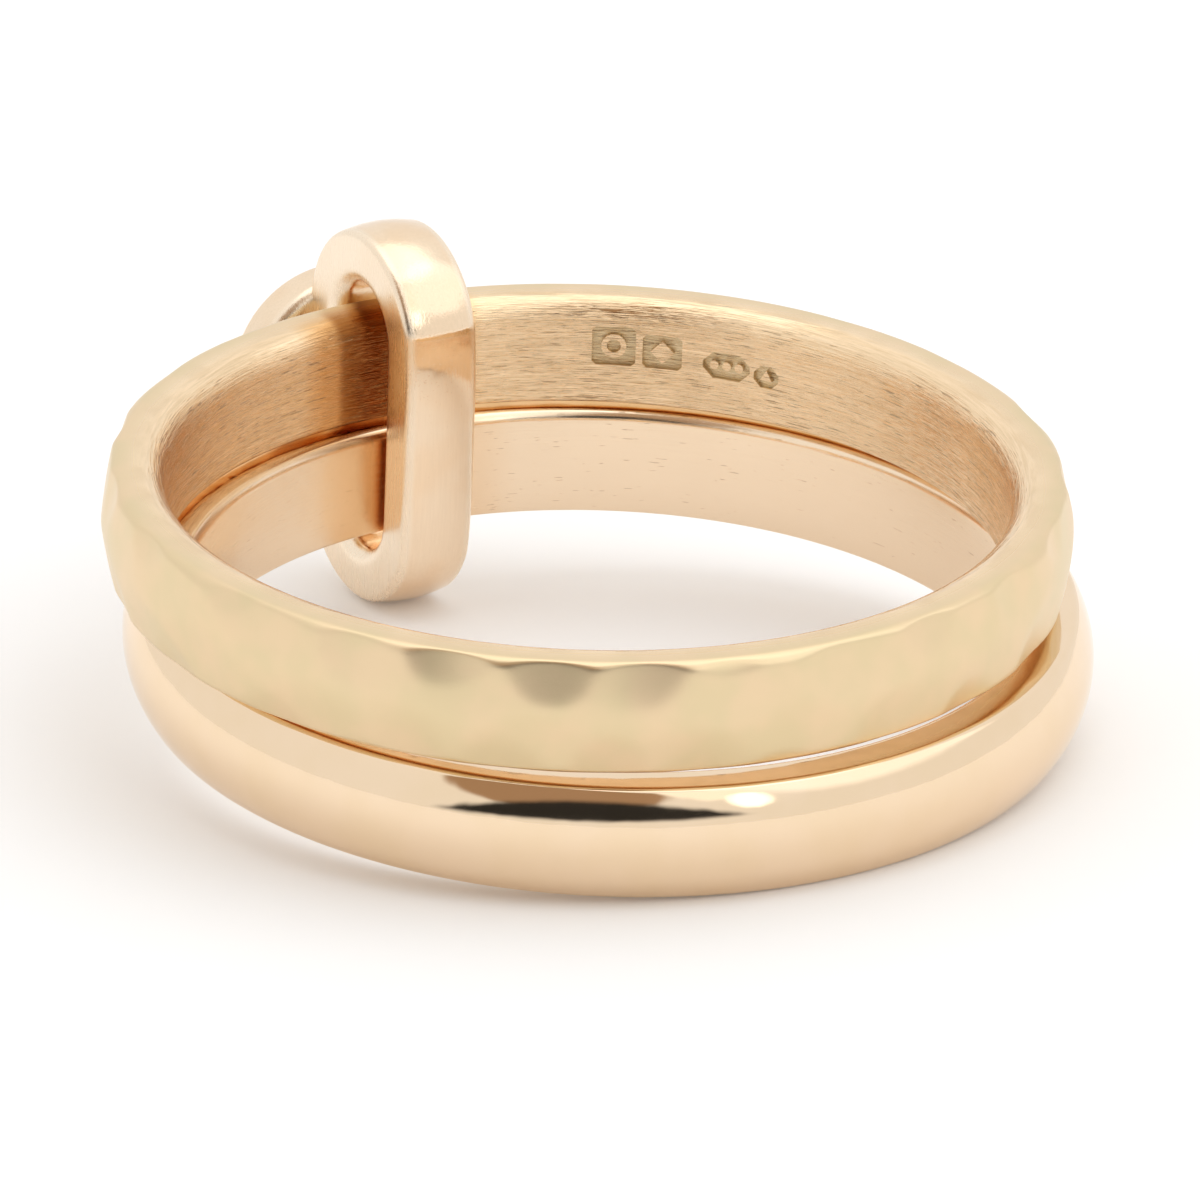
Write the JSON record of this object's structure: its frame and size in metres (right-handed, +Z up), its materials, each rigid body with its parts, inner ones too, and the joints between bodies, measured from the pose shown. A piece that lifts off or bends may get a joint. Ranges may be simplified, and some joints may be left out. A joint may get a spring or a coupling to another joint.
{
  "type": "gimmel ring",
  "caption": "Finger ring of a hammered and a polished gold band, lying on its side, held together by a loose oval link with a round boss.",
  "frame": {"origin": "middle of the bounding box's footprint, on the surface that the ring lies on", "axes": "+X to the right along the bands' offset, +Y to the back, where the link is, +Z up; the finger's axis leans from +Z because the ring lies on its link"},
  "size_m": [0.0202, 0.0218, 0.0085],
  "materials": {
    "satin_yellow_gold": "satin yellow gold, hammered outside, brushed inside",
    "polished_rose_gold": "mirror-polished rose gold with fine wear inside",
    "link_rose_gold": "polished pale rose gold"
  },
  "bodies": {
    "link": {"link": "link_rose_gold"},
    "polished_band": {"polished_band": "polished_rose_gold"},
    "hammered_band": {"hammered_band": "satin_yellow_gold"}
  },
  "joints": [
    {"name": "polished_band_turn", "type": "hinge", "parent": "link", "child": "polished_band", "pos_m": [0.00024, -0.001, 0.00336], "axis": [0.0509, -0.0863, 0.995], "continuous": true},
    {"name": "band_open", "type": "hinge", "parent": "link", "child": "hammered_band", "pos_m": [-0.00448, 0.00702, 0.00559], "axis": [-0.8616, -0.5075, 0], "range_deg": [0, 15]}
  ]
}
